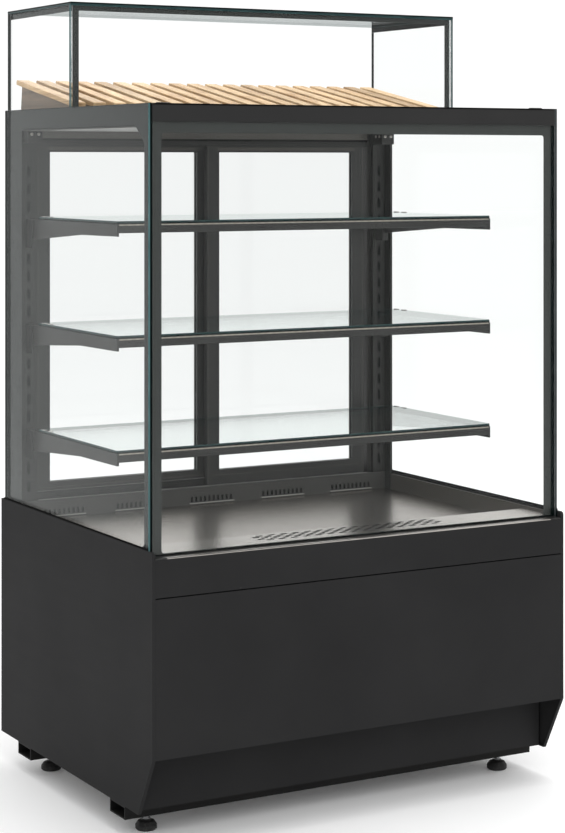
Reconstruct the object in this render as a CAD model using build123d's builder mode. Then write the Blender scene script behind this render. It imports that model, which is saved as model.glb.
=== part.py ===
from build123d import *
import os
from math import sin, cos, tan, radians, degrees, atan2, hypot

# Refrigerated pastry display case on a sheet-metal base, with a glass bread case on its roof.
# Millimetres. x: width (right when seen from the front), y: depth (front is -y), z: up from the floor.
os.makedirs("parts", exist_ok=True)

# ---------------------------------------------------------------- driving dimensions
WIDTH = 900.0            # over the two side panels
DEPTH = 705.0            # front fascia to the rear edges of the side panels
H_MAIN = 1328.0          # top of the main glass box
H_TOTAL = 1531.0         # top of the bread case
HX = WIDTH / 2
YF = -DEPTH / 2          # front face of the fascia
YB = DEPTH / 2

SHEET = 1.5              # folded sheet metal
PANEL_T = 6.5            # depth of the side panels' folded edges
PANEL_TOP = 534.1
PANEL_BOT = 57.1
CUT_Z = 166.0            # where the front edge of a side panel starts to slant back
CUT_Y = -294.6           # where it meets the bottom edge
INX = HX - PANEL_T - 0.2 # half width between the side panels

FASCIA_TOP = 520.4
GROOVE_Z = 451.7         # shadow gap between the fascia and the lower front panel
KICK_Y = -280.0

BEAM_BOT, BEAM_TOP = 33.2, 57.0
BEAM_W = 64.0
FOOT_X, FOOT_YF, FOOT_YR = 392.0, -208.0, 230.0
PAD_R = 20.0
STEM_R = 5.0

TUB_BOT, TUB_RIM = 335.0, 494.0
TUB_YF, TUB_YR = -337.0, 337.0
TUB_WALL = 28.0
DECK_Z = 497.0           # top of the stainless well floor
LEDGE_Z = 526.0          # top of the raised front ledge of the well
LEDGE_Y0, LEDGE_Y1 = -327.0, -240.0
LINER_TOP = 531.0

GLASS = 6.0
GX = 448.3               # outer face of the side glass
GYF, GYR = -333.7, 336.8
GXI = GX - GLASS         # inner face of the side glass
HEADER_BOT = 1295.0
CEILING_Z = 1286.0
ROOF_TOP = 1327.6
ROOF_YF = -306.0
HINGE_Y, HINGE_Z = -318.0, 1322.0
HINGE_X = 410.0
HINGE_PIN_R = 3.0

SHELF_TOPS = (1113.2, 900.2, 687.2)
SHELF_X = 420.8
SHELF_YF, SHELF_YR = -144.1, 229.7
ARM_T = 4.0
UPR_X = 419.0            # slot line of the uprights
UPR_YF = 282.0           # front face of the uprights
POST_YF = 292.0
SLOT_H, SLOT_PITCH, SLOT_TOP = 21.5, 35.5, 1214.1

DOOR_T = 14.0
DOOR_Z0, DOOR_Z1 = 535.0, 1264.0
WIN_Z0, WIN_Z1 = 565.5, 1243.6
LDOOR = (-388.0, 11.0, 316.0)    # x from, x to, front face y (outer track)
RDOOR = (-4.0, 388.0, 296.0)     # inner track
LWIN = (-358.0, -18.0)
RWIN = (25.0, 358.0)
TRACK_Z = 530.0

CASE_X = 441.3           # bread case
CASE_YF, CASE_YR = 22.2, 339.6
SLATS, SLAT_PITCH, SLAT_W, SLAT_T = 20, 43.4, 27.0, 10.0
SLAT_YF, SLAT_YR = 45.0, 330.0
SLAT_ZF, SLAT_ZR = 1338.8, 1391.0


def rect(u0, u1, v0, v1, mode=Mode.ADD):
    with Locations(((u0 + u1) / 2, (v0 + v1) / 2)):
        Rectangle(abs(u1 - u0), abs(v1 - v0), mode=mode)


def profile(*pts):
    Polygon(*pts, align=None)


def save(builder, label):
    builder.part.label = label
    export_step(builder.part, "parts/" + label + ".step")


def at_x(x):
    # sketch plane with u = y, v = z, extruding towards +x
    return Plane(origin=(x, 0, 0), x_dir=(0, 1, 0), z_dir=(1, 0, 0))


def at_y(y):
    # sketch plane with u = x, v = z, extruding towards -y
    return Plane(origin=(0, y, 0), x_dir=(1, 0, 0), z_dir=(0, -1, 0))


def at_z(z):
    return Plane.XY.offset(z)


# ---------------------------------------------------------------- base: side panels
for side, label in ((-1, "left_side_panel"), (1, "right_side_panel")):
    x_out = side * HX
    x_in = side * (HX - PANEL_T)
    with BuildPart() as panel:
        with BuildSketch(at_x(min(x_out, x_in))) as outline:
            profile((YF, CUT_Z), (YF, PANEL_TOP), (YB, PANEL_TOP), (YB, PANEL_BOT), (CUT_Y, PANEL_BOT))
            fillet(outline.vertices().group_by(Axis.Y)[-1].group_by(Axis.X)[0], 7)
        extrude(amount=PANEL_T)
        with BuildSketch(at_x(min(x_in, x_in + side * 5.0))):
            profile((YF + SHEET, 166.37), (YF + SHEET, 512.0), (YF + 12, 540), (YB - SHEET, 540), (YB - SHEET, 58.6), (CUT_Y + 0.9, 58.6))
        extrude(amount=PANEL_T - SHEET, mode=Mode.SUBTRACT)
    save(panel, label)

# front fascia: folded sheet, upper return under the stainless lip
with BuildPart() as front_fascia:
    with BuildSketch(at_x(-INX)):
        profile((YF, GROOVE_Z + 1.0), (YF, FASCIA_TOP), (YF + 7.5, FASCIA_TOP), (YF + 7.5, FASCIA_TOP - SHEET),
                (YF + SHEET, FASCIA_TOP - SHEET), (YF + SHEET, GROOVE_Z + 2.5), (YF + 13, GROOVE_Z + 2.5), (YF + 13, GROOVE_Z + 1.0))
    extrude(amount=2 * INX)
    fillet(front_fascia.edges().filter_by(Axis.X).group_by(Axis.Y)[0].sort_by(Axis.Z)[-1], 1.0)
save(front_fascia, "front_fascia")

# lower front panel: a tray with returns above and below
with BuildPart() as lower_front_panel:
    with BuildSketch(at_x(-INX)):
        profile((YF, CUT_Z), (YF, GROOVE_Z - 1.2), (YF + 13, GROOVE_Z - 1.2), (YF + 13, GROOVE_Z - 2.7), (YF + SHEET, GROOVE_Z - 2.7),
                (YF + SHEET, CUT_Z + SHEET), (YF + 20, CUT_Z + SHEET), (YF + 20, CUT_Z))
    extrude(amount=2 * INX)
save(lower_front_panel, "lower_front_panel")

with BuildPart() as kick_panel:
    with BuildSketch(at_x(-INX)):
        profile((KICK_Y, 59.4), (KICK_Y, 222), (KICK_Y - 30, 222), (KICK_Y - 30, 223.5), (KICK_Y + SHEET, 223.5), (KICK_Y + SHEET, 60.9),
                (KICK_Y + 24, 60.9), (KICK_Y + 24, 59.4))
    extrude(amount=2 * INX)
save(kick_panel, "kick_panel")

# two box-section cross beams on the feet, open at both ends
with BuildPart() as cross_beams:
    for y in (FOOT_YF, FOOT_YR):
        with BuildSketch(at_x(-HX)):
            rect(y - BEAM_W / 2, y + BEAM_W / 2, BEAM_BOT, BEAM_TOP)
            rect(y - BEAM_W / 2 + 2.5, y + BEAM_W / 2 - 2.5, BEAM_BOT + 2.5, BEAM_TOP - 2.5, mode=Mode.SUBTRACT)
        extrude(amount=WIDTH)
    with BuildSketch(at_z(BEAM_BOT - 1)):
        for y in (FOOT_YF, FOOT_YR):
            with Locations((-FOOT_X, y), (FOOT_X, y)):
                Circle(STEM_R + 0.08)
    extrude(amount=5, mode=Mode.SUBTRACT)
save(cross_beams, "cross_beams")

# base frame: floor plate with four corner posts that carry the tub
with BuildPart() as base_frame:
    with BuildSketch(at_z(BEAM_TOP)):
        rect(-INX, INX, KICK_Y + 2, 325.8)
    extrude(amount=2)
    with BuildSketch(at_z(BEAM_TOP + 2)):
        for x in (-418, 418):
            for y in (-240, 300):
                rect(x - 15, x + 15, y - 15, y + 15)
                rect(x - 13, x + 13, y - 13, y + 13, mode=Mode.SUBTRACT)
    extrude(amount=TUB_BOT - BEAM_TOP - 2)
save(base_frame, "base_frame")

# rear service grille with louvre slots
with BuildPart() as service_grille:
    with BuildSketch(at_y(328)):
        rect(-INX, INX, 60, TUB_BOT - 1)
        with Locations((0, 200)):
            with GridLocations(88, 14, 9, 14):
                SlotOverall(74, 5, mode=Mode.SUBTRACT)
        with Locations((-380, 82)):
            Circle(8.0, mode=Mode.SUBTRACT)
    extrude(amount=2)
save(service_grille, "service_grille")

# ---------------------------------------------------------------- insulated tub and its linings
with BuildPart() as insulated_tub:
    with BuildSketch(at_z(TUB_BOT)):
        rect(-GX + 0.3, GX - 0.3, TUB_YF, TUB_YR)
    extrude(amount=TUB_RIM - TUB_BOT)
    with BuildSketch(at_z(TUB_BOT + TUB_WALL)):
        rect(-418, 418, TUB_YF + 30, 286)
    extrude(amount=TUB_RIM, mode=Mode.SUBTRACT)
save(insulated_tub, "insulated_tub")

with BuildPart() as deck_plate:
    with BuildSketch(at_z(DECK_Z - SHEET)):
        rect(-437.6, 437.6, LEDGE_Y1 + 1.6, 282.8)
    extrude(amount=SHEET)
save(deck_plate, "deck_plate")

# raised front ledge, perforated for the return air: five staggered rows of slots
with BuildPart() as deck_front_ledge:
    with BuildSketch(at_x(-437.6)):
        profile((LEDGE_Y0, TUB_RIM), (LEDGE_Y0, LEDGE_Z), (LEDGE_Y1, LEDGE_Z), (LEDGE_Y1, DECK_Z - SHEET), (LEDGE_Y1 - SHEET, DECK_Z - SHEET),
                (LEDGE_Y1 - SHEET, LEDGE_Z - SHEET), (LEDGE_Y0 + SHEET, LEDGE_Z - SHEET), (LEDGE_Y0 + SHEET, TUB_RIM))
    extrude(amount=2 * 437.6)
    fillet(deck_front_ledge.edges().filter_by(Axis.X).group_by(Axis.Z)[-1], 1.2)
    with BuildSketch(at_z(LEDGE_Z - 4)):
        for row in range(5):
            with Locations((0, -257.0 - 10.3 * row)):
                with GridLocations(26.0, 1, 15 + row % 2, 1):
                    SlotOverall(15.5, 5.0)
    extrude(amount=8, mode=Mode.SUBTRACT)
save(deck_front_ledge, "deck_front_ledge")

with BuildPart() as deck_side_liners:
    with BuildSketch(at_z(TUB_RIM)):
        for s in (-1, 1):
            rect(s * 437.9, s * 441.9, LEDGE_Y0, 263.5)
    extrude(amount=LINER_TOP - TUB_RIM)
save(deck_side_liners, "deck_side_liners")

# stainless lip in front of the glass
with BuildPart() as front_lip:
    with BuildSketch(at_x(-INX)):
        profile((YF + 1.0, FASCIA_TOP), (YF + 1.4, FASCIA_TOP + 0.9), (YF + 3.4, FASCIA_TOP + 1.8), (-327.4, FASCIA_TOP + 1.8), (-327.4, TUB_RIM), (-329.0, TUB_RIM), (-329.0, FASCIA_TOP))
    extrude(amount=2 * INX)
    with BuildSketch(at_z(TUB_RIM - 1)):
        for s in (-1, 1):
            rect(s * (GXI - 0.2), s * (GX + 0.4), -334.0, -300.0)
    extrude(amount=60, mode=Mode.SUBTRACT)
save(front_lip, "front_lip")

# rubber seals: under the front glass, and bedding strips along the bottom of the side glass
with BuildPart() as glass_seals:
    with BuildSketch(at_z(FASCIA_TOP + 1.8)):
        rect(-GXI + 0.4, GXI - 0.4, GYF - 0.2, -327.6)
    extrude(amount=1.4)
save(glass_seals, "glass_seals")

# air outlet strip along the rear of the well, with five slotted vents and their lips
with BuildPart() as rear_air_outlet:
    with BuildSketch(at_x(-435.6)):
        profile((283, DECK_Z - SHEET), (283, 533.2), (291.8, 533.2), (291.8, 531.7), (284.5, 531.7), (284.5, DECK_Z - SHEET))
    extrude(amount=2 * 435.6)
    with BuildSketch(at_y(286)):
        for k in range(-2, 3):
            with Locations((k * 172.8, 508.5)):
                with GridLocations(10.4, 1, 10, 1):
                    Rectangle(5.2, 11)
    extrude(amount=6, mode=Mode.SUBTRACT)
    with BuildSketch(at_y(283)):
        for k in range(-2, 3):
            rect(k * 172.8 - 53, k * 172.8 + 53, 499.6, 501.2)
    extrude(amount=4)
save(rear_air_outlet, "rear_air_outlet")

# ---------------------------------------------------------------- refrigeration
with BuildPart() as evaporator_coil:
    with BuildSketch(at_z(TUB_BOT + TUB_WALL)):
        rect(-320, 320, 90, 200)
    extrude(amount=105)
    with BuildSketch(at_x(-336)):
        for y in (108, 134, 160, 186):
            for z in (382, 412, 442):
                with Locations((y, z)):
                    Circle(5)
    extrude(amount=672)
save(evaporator_coil, "evaporator_coil")

EF_Z = 428.0
with BuildPart() as evaporator_fan_housing:
    with BuildSketch(at_y(42)):
        rect(-320, 320, TUB_BOT + TUB_WALL, DECK_Z - SHEET - 1)
        with Locations((0, EF_Z)):
            Circle(62, mode=Mode.SUBTRACT)
    extrude(amount=2)
    with BuildSketch(at_y(80)):
        with Locations((0, EF_Z)):
            Circle(26)
    extrude(amount=30)
    with BuildSketch(at_y(50)):
        with Locations((0, EF_Z)):
            with PolarLocations(0, 4, 45):
                rect(20, 66, -4, 4)
    extrude(amount=8)
    with BuildSketch(at_y(70)):
        with Locations((0, EF_Z)):
            Circle(3.05)
    extrude(amount=30, mode=Mode.SUBTRACT)
save(evaporator_fan_housing, "evaporator_fan_housing")


def fan(hub, tip_r, hub_r, hub_len, blades, chord, shaft_r, shaft_len):
    # axial fan: hub centred on the plane's origin, axis along its normal, the shaft reaching that way
    with BuildPart() as blade:
        root = Plane(origin=(hub_r - 3, 0, 0), x_dir=(0, 0, 1), z_dir=(1, 0, 0))
        with BuildSketch(root):
            with Locations(Location((0, 0, 0), (0, 0, 55))):
                RectangleRounded(1.8, chord * 0.7, 0.8)
        with BuildSketch(root.offset(tip_r - hub_r + 3)):
            with Locations(Location((0, 0, 0), (0, 0, 24))):
                RectangleRounded(1.8, chord, 0.8)
        loft()
    with BuildPart(hub) as wheel:
        Cylinder(hub_r, hub_len)
        with PolarLocations(0, blades):
            add(blade.part)
        with Locations((0, 0, hub_len / 2)):
            Cylinder(shaft_r, shaft_len, align=(Align.CENTER, Align.CENTER, Align.MIN))
    return wheel


evaporator_fan = fan(Plane(origin=(0, 32, EF_Z), x_dir=(1, 0, 0), z_dir=(0, 1, 0)), 57, 19, 14, 5, 26, 3.0, 22)
save(evaporator_fan, "evaporator_fan")

# hermetic compressor: welded can, base plate, rubber feet
CX, CY = -230.0, 110.0
with BuildPart() as compressor:
    with BuildSketch(Plane(origin=(CX, CY, 0), x_dir=(1, 0, 0), z_dir=(0, -1, 0))):
        with BuildLine():
            Polyline((0, 76), (55, 76), (72, 92), (75, 110), (75, 200), (66, 236), (40, 254), (0, 258), close=True)
        make_face()
    revolve(axis=Axis((CX, CY, 0), (0, 0, 1)))
    with BuildSketch(at_z(70)):
        with Locations((CX, CY)):
            RectangleRounded(210, 150, 20)
    extrude(amount=6)
    with BuildSketch(at_z(BEAM_TOP + 2)):
        with Locations((CX, CY)):
            with GridLocations(170, 110, 2, 2):
                Circle(12)
    extrude(amount=11)
    with BuildSketch(at_x(CX + 70)):
        rect(CY - 25, CY + 25, 130, 190)
    extrude(amount=28)
save(compressor, "compressor")

CFX, CFZ = 170.0, 190.0
with BuildPart() as condenser_coil:
    with BuildSketch(at_z(64)):
        rect(CFX - 140, CFX + 140, 206, 262)
    extrude(amount=250)
    with BuildSketch(at_x(CFX - 154)):
        for y in (222, 246):
            for z in range(86, 310, 32):
                with Locations((y, z)):
                    Circle(4.5)
    extrude(amount=308)
    with BuildSketch(at_z(BEAM_TOP + 2)):
        rect(CFX - 140, CFX + 140, 214, 254)
    extrude(amount=5)
save(condenser_coil, "condenser_coil")

with BuildPart() as condenser_fan_shroud:
    with BuildSketch(at_y(205.9)):
        rect(CFX - 140, CFX + 140, 64, 314)
        with Locations((CFX, CFZ)):
            Circle(112, mode=Mode.SUBTRACT)
    extrude(amount=3)
    with BuildSketch(at_y(203)):
        with Locations((CFX, CFZ)):
            Circle(116)
            Circle(112, mode=Mode.SUBTRACT)
    extrude(amount=30)
    with BuildSketch(at_y(150)):
        with Locations((CFX, CFZ)):
            Circle(38)
    extrude(amount=44)
    with BuildSketch(at_y(150)):
        with Locations((CFX, CFZ)):
            with PolarLocations(0, 4, 45):
                rect(30, 116, -5, 5)
    extrude(amount=4)
    with BuildSketch(at_y(173.2)):
        with Locations((CFX, CFZ)):
            with PolarLocations(0, 4, 45):
                rect(112.5, 116, -5, 5)
    extrude(amount=26)
    with BuildSketch(at_y(151)):
        with Locations((CFX, CFZ)):
            Circle(4.05)
    extrude(amount=30, mode=Mode.SUBTRACT)
save(condenser_fan_shroud, "condenser_fan_shroud")


condenser_fan = fan(Plane(origin=(CFX, 176, CFZ), x_dir=(1, 0, 0), z_dir=(0, -1, 0)), 106, 30, 22, 5, 44, 4.0, 28)
save(condenser_fan, "condenser_fan")


def pipe(pts, r, radius):
    with BuildPart() as run:
        with BuildLine() as path:
            FilletPolyline(*pts, radius=radius)
        d = Vector(*pts[1]) - Vector(*pts[0])
        with BuildSketch(Plane(origin=pts[0], z_dir=tuple(d))):
            Circle(r)
        sweep()
    return run


discharge = pipe([(CX + 76, CY + 40, 215), (-70, CY + 40, 215), (-70, 234, 215), (-70, 234, 290), (15.5, 234, 290)], 4, 18)
suction = pipe([(CX, CY - 76, 180), (CX, 0, 180), (CX, 0, TUB_BOT - 0.1)], 5, 20)
liquid = pipe([(CFX + 154.5, 234, 100), (370, 234, 100), (370, 70, 100), (370, 70, TUB_BOT - 0.1)], 4, 18)
with BuildPart() as refrigerant_pipes:
    add(discharge.part)
    add(suction.part)
    add(liquid.part)
    # filter drier on the liquid line
    with BuildSketch(at_z(185)):
        with Locations((370, 70)):
            Circle(11)
    extrude(amount=95)
    chamfer(refrigerant_pipes.edges().filter_by(GeomType.CIRCLE).filter_by(lambda e: abs(e.radius - 11) < 0.01), 5)
save(refrigerant_pipes, "refrigerant_pipes")

# tray that evaporates the defrost water
with BuildPart() as evaporation_tray:
    with BuildSketch(at_z(BEAM_TOP + 2)):
        rect(-90, -10 + 15, -60, 110)
    extrude(amount=40)
    with BuildSketch(at_z(BEAM_TOP + 4)):
        rect(-88, -12 + 15, -58, 108)
    extrude(amount=60, mode=Mode.SUBTRACT)
save(evaporation_tray, "evaporation_tray")

with BuildPart() as electrical_box:
    with BuildSketch(at_z(BEAM_TOP + 2)):
        with Locations((340, -80)):
            RectangleRounded(120, 160, 6)
    extrude(amount=110)
    fillet(electrical_box.edges().group_by(Axis.Z)[-1], 3)
save(electrical_box, "electrical_box")

# ---------------------------------------------------------------- controls on the rear of the tub
CP_X0, CP_X1, CP_Z0, CP_Z1, CP_Y = -436.0, -290.0, 400.0, 452.0, 348.0
KEY_X = (-366.0, -351.0, -336.0)
KEY_Z = 420.0
SW_X = (-319.0, -301.0)
SW_Z = 426.0
with BuildPart() as control_panel:
    with BuildSketch(at_y(CP_Y)):
        with Locations(((CP_X0 + CP_X1) / 2, (CP_Z0 + CP_Z1) / 2)):
            RectangleRounded(CP_X1 - CP_X0, CP_Z1 - CP_Z0, 5)
    extrude(amount=CP_Y - TUB_YR)
    chamfer(control_panel.faces().sort_by(Axis.Y)[-1].edges(), 0.8)
    with BuildSketch(at_y(CP_Y + 1)):
        rect(-430, -376, 412, 440)
    extrude(amount=2.2, mode=Mode.SUBTRACT)
    with BuildSketch(at_y(CP_Y + 1)):
        for x in KEY_X:
            with Locations((x, KEY_Z)):
                Rectangle(11.0, 8.0)
    extrude(amount=9, mode=Mode.SUBTRACT)
    with BuildSketch(at_y(CP_Y + 1)):
        for x in SW_X:
            with Locations((x, SW_Z)):
                Rectangle(13.6, 22.4)
    extrude(amount=11, mode=Mode.SUBTRACT)
save(control_panel, "control_panel")

for x, label in zip(KEY_X, ("key_set", "key_down", "key_up")):
    with BuildPart() as key:
        with BuildSketch(at_y(350.0)):
            with Locations((x, KEY_Z)):
                RectangleRounded(10.0, 7.0, 1.2)
        extrude(amount=7.5)
        fillet(key.faces().sort_by(Axis.Y)[-1].edges(), 0.6)
    save(key, label)

SW_Y = 343.0
SW_TILT = 7.0
for x, label in zip(SW_X, ("power_switch", "light_switch")):
    with BuildPart() as rocker:
        with BuildSketch(Plane(origin=(x - 6.3, SW_Y, SW_Z), x_dir=(0, cos(radians(SW_TILT)), sin(radians(SW_TILT))), z_dir=(1, 0, 0))):
            profile((-2.6, -9.6), (5.6, -9.6), (4.4, 0), (5.6, 9.6), (-2.6, 9.6))
        extrude(amount=12.6)
    save(rocker, label)

with BuildPart() as cable_gland:
    with BuildSketch(at_y(328)):
        with Locations((-380, 82)):
            Circle(8.0)
    extrude(amount=8)
    with BuildSketch(at_y(336)):
        with Locations((-380, 82)):
            RegularPolygon(12.5, 6)
    extrude(amount=8)
    with BuildSketch(at_y(350)):
        with Locations((-380, 82)):
            Circle(10.5)
    extrude(amount=14)
    fillet(cable_gland.faces().sort_by(Axis.Y)[-1].edges(), 3)
    with BuildSketch(at_y(352)):
        with Locations((-380, 82)):
            Circle(4.5)
    extrude(amount=40, mode=Mode.SUBTRACT)
save(cable_gland, "cable_gland")

# ---------------------------------------------------------------- levelling feet
for sx, y, label in ((-1, FOOT_YF, "foot_front_left"), (1, FOOT_YF, "foot_front_right"),
                     (-1, FOOT_YR, "foot_rear_left"), (1, FOOT_YR, "foot_rear_right")):
    fx = sx * FOOT_X
    with BuildPart() as foot:
        with BuildSketch(Plane(origin=(fx, y, 0), x_dir=(1, 0, 0), z_dir=(0, -1, 0))):
            with BuildLine():
                Polyline((0, 0), (17.5, 0), (PAD_R, 2.5), (PAD_R, 9), (15.5, 15.5), (9, 18), (8, 21), (STEM_R, 21), (STEM_R, 50), (0, 50), close=True)
            make_face()
        revolve(axis=Axis((fx, y, 0), (0, 0, 1)))
        with BuildSketch(at_z(25.6)):
            with Locations((fx, y)):
                RegularPolygon(9.8, 6)
        extrude(amount=7)
    save(foot, label)

# ---------------------------------------------------------------- glass box
for s, label in ((-1, "left_side_glass"), (1, "right_side_glass")):
    with BuildPart() as pane:
        with BuildSketch(at_x(min(s * GX, s * GXI))):
            rect(GYF, GYR, TUB_RIM, H_MAIN)
        extrude(amount=GLASS)
        chamfer(pane.edges().filter_by(Axis.Y), 0.5)
    save(pane, label)

FG_X = GXI - 1.0
with BuildPart() as front_glass:
    with BuildSketch(at_y(GYF + GLASS)):
        rect(-FG_X, FG_X, FASCIA_TOP + 3.8, 1312.5)
    extrude(amount=GLASS)
    chamfer(front_glass.edges().filter_by(Axis.Z), 0.5)
save(front_glass, "front_glass")

# header profile clamped on the top edge of the front glass, with a notch for each hinge block
with BuildPart() as header_profile:
    with BuildSketch(at_x(-FG_X)) as head:
        profile((-335.5, HEADER_BOT), (-335.5, H_MAIN), (-312.0, H_MAIN), (-312.0, HEADER_BOT))
    extrude(amount=2 * FG_X)
    fillet(header_profile.edges().filter_by(Axis.X).group_by(Axis.Z)[-1], 1.2)
    with BuildSketch(at_x(-FG_X - 1)):
        rect(GYF - 0.1, GYF + GLASS + 0.1, HEADER_BOT - 1, 1313.0)
    extrude(amount=2 * FG_X + 2, mode=Mode.SUBTRACT)
    for s in (-1, 1):
        with BuildSketch(at_x(s * HINGE_X - 11)):
            rect(-326.6, -300, 1313.4, 1340)
        extrude(amount=22, mode=Mode.SUBTRACT)
        with BuildSketch(at_x(s * HINGE_X - 20.5)):
            with Locations((HINGE_Y, HINGE_Z)):
                Circle(HINGE_PIN_R + 0.05)
        extrude(amount=41, mode=Mode.SUBTRACT)
save(header_profile, "header_profile")

# hinge blocks with their pins, fixed to the front of the roof
with BuildPart() as hinge_blocks:
    for s in (-1, 1):
        with BuildSketch(at_x(s * HINGE_X - 10)):
            with Locations((HINGE_Y, HINGE_Z)):
                Circle(8.0)
            rect(HINGE_Y, ROOF_YF, HINGE_Z - 5, HINGE_Z + 8)
        extrude(amount=20)
        with BuildSketch(at_x(s * HINGE_X - 20)):
            with Locations((HINGE_Y, HINGE_Z)):
                Circle(HINGE_PIN_R)
        extrude(amount=40)
save(hinge_blocks, "hinge_blocks")

# roof: ceiling sheet and top sheet folded into one box, its two ends closed by the side glass
with BuildPart() as roof_panel:
    with BuildSketch(at_x(-GXI + 0.5)):
        rect(ROOF_YF, GYR, CEILING_Z, ROOF_TOP)
        rect(ROOF_YF + 2, GYR - 2, CEILING_Z + 2, ROOF_TOP - 2, mode=Mode.SUBTRACT)
    extrude(amount=2 * GXI - 1.0)
save(roof_panel, "roof_panel")

with BuildPart() as rear_posts:
    with BuildSketch(at_z(TUB_RIM)):
        for s in (-1, 1):
            rect(s * 395.0, s * (GXI - 0.5), POST_YF, GYR)
            rect(s * 397.5, s * (GXI - 3.0), POST_YF + 2.5, GYR - 2.5, mode=Mode.SUBTRACT)
            rect(s * 438.0, s * (GXI - 0.5), 264, POST_YF)
    extrude(amount=CEILING_Z - TUB_RIM)
save(rear_posts, "rear_posts")

# bottom and top door tracks: two guide channels each
with BuildPart() as door_tracks:
    with BuildSketch(at_x(-394.8)):
        profile((POST_YF, TUB_RIM), (POST_YF, 533.7), (295, 533.7), (295, TRACK_Z), (311.5, TRACK_Z), (311.5, 547.6), (314.5, 547.6), (314.5, TRACK_Z),
                (331.5, TRACK_Z), (331.5, 547.6), (GYR, 547.6), (GYR, TUB_RIM))
    extrude(amount=789.6)
    with BuildSketch(at_x(-394.8)):
        profile((POST_YF, CEILING_Z), (POST_YF, 1256), (295, 1256), (295, 1266), (311.5, 1266), (311.5, 1256), (314.5, 1256), (314.5, 1266),
                (331.5, 1266), (331.5, 1256), (GYR, 1256), (GYR, CEILING_Z))
    extrude(amount=789.6)
save(door_tracks, "door_tracks")

# slotted uprights: channels with a column of slots for the shelf hooks, and a block at the top
with BuildPart() as slotted_uprights:
    for s in (-1, 1):
        with BuildSketch(at_z(TUB_RIM + 40)):
            rect(s * 404, s * 434, UPR_YF, POST_YF)
            rect(s * 406, s * 432, UPR_YF + 2, POST_YF, mode=Mode.SUBTRACT)
        extrude(amount=CEILING_Z - TUB_RIM - 40)
        with BuildSketch(at_z(1262)):
            rect(s * 404, s * 435.6, 246, UPR_YF)
        extrude(amount=CEILING_Z - 1262)
    with BuildSketch(at_y(UPR_YF + 3)):
        for s in (-1, 1):
            for k in range(19):
                zc = SLOT_TOP - SLOT_H / 2 - SLOT_PITCH * k
                rect(s * UPR_X - 3, s * UPR_X + 3, zc - SLOT_H / 2, zc + SLOT_H / 2)
    extrude(amount=5, mode=Mode.SUBTRACT)
save(slotted_uprights, "slotted_uprights")

# ---------------------------------------------------------------- shelves
for n, zt in enumerate(SHELF_TOPS, 1):
    with BuildPart() as shelf:
        with BuildSketch(at_z(zt - GLASS)) as s:
            rect(-SHELF_X, SHELF_X, SHELF_YF, SHELF_YR)
            fillet(s.vertices(), 4)
        extrude(amount=GLASS)
        chamfer(shelf.faces().filter_by(Axis.Z).edges(), 0.6)
    save(shelf, "shelf_%d_glass" % n)

with BuildPart() as shelf_brackets:
    for zt in SHELF_TOPS:
        u = zt - GLASS
        for s in (-1, 1):
            x0 = min(s * SHELF_X, s * (SHELF_X - ARM_T))
            with BuildSketch(at_x(x0)):
                profile((SHELF_YF, u), (SHELF_YF, u - 22.7), (22, u - 24.1), (254, u - 40.8), (254, u))
            extrude(amount=ARM_T)
            with BuildSketch(at_x(s * 417.0 - 7)):
                profile((252, u), (252, u - 57.5), (UPR_YF, u - 57.5), (UPR_YF, u))
            extrude(amount=14)
            # hook tabs that reach into the slots
            k0 = round((SLOT_TOP - u) / SLOT_PITCH)
            for k in (k0, k0 + 1):
                top = SLOT_TOP - SLOT_PITCH * k
                with BuildSketch(at_x(s * UPR_X - 1.8)):
                    rect(UPR_YF - 2, UPR_YF + 7, max(top - SLOT_H + 2, u - 57.5), min(top - 3, u - 1))
                extrude(amount=3.6)
save(shelf_brackets, "shelf_brackets")

with BuildPart() as shelf_front_rails:
    for zt in SHELF_TOPS:
        u = zt - GLASS
        with BuildSketch(at_x(-SHELF_X + ARM_T)):
            profile((SHELF_YF, u - 2.5), (SHELF_YF, u - 15.5), (SHELF_YF + 1, u - 16.5), (SHELF_YF + 14, u - 16.5), (SHELF_YF + 14, u - 2.5))
        extrude(amount=2 * (SHELF_X - ARM_T))
save(shelf_front_rails, "shelf_front_rails")

# light strips under the front edges of the shelves, and the ceiling lamp
with BuildPart() as led_lamps:
    for zt in SHELF_TOPS:
        u = zt - GLASS
        with BuildSketch(at_x(-SHELF_X + ARM_T)):
            rect(SHELF_YF, SHELF_YF + 13, u - 2.5, u)
        extrude(amount=2 * (SHELF_X - ARM_T))
    with BuildSketch(at_x(-400)):
        profile((-298, CEILING_Z), (-294, CEILING_Z - 6), (-276, CEILING_Z - 6), (-272, CEILING_Z))
    extrude(amount=800)
save(led_lamps, "led_lamps")

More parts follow.
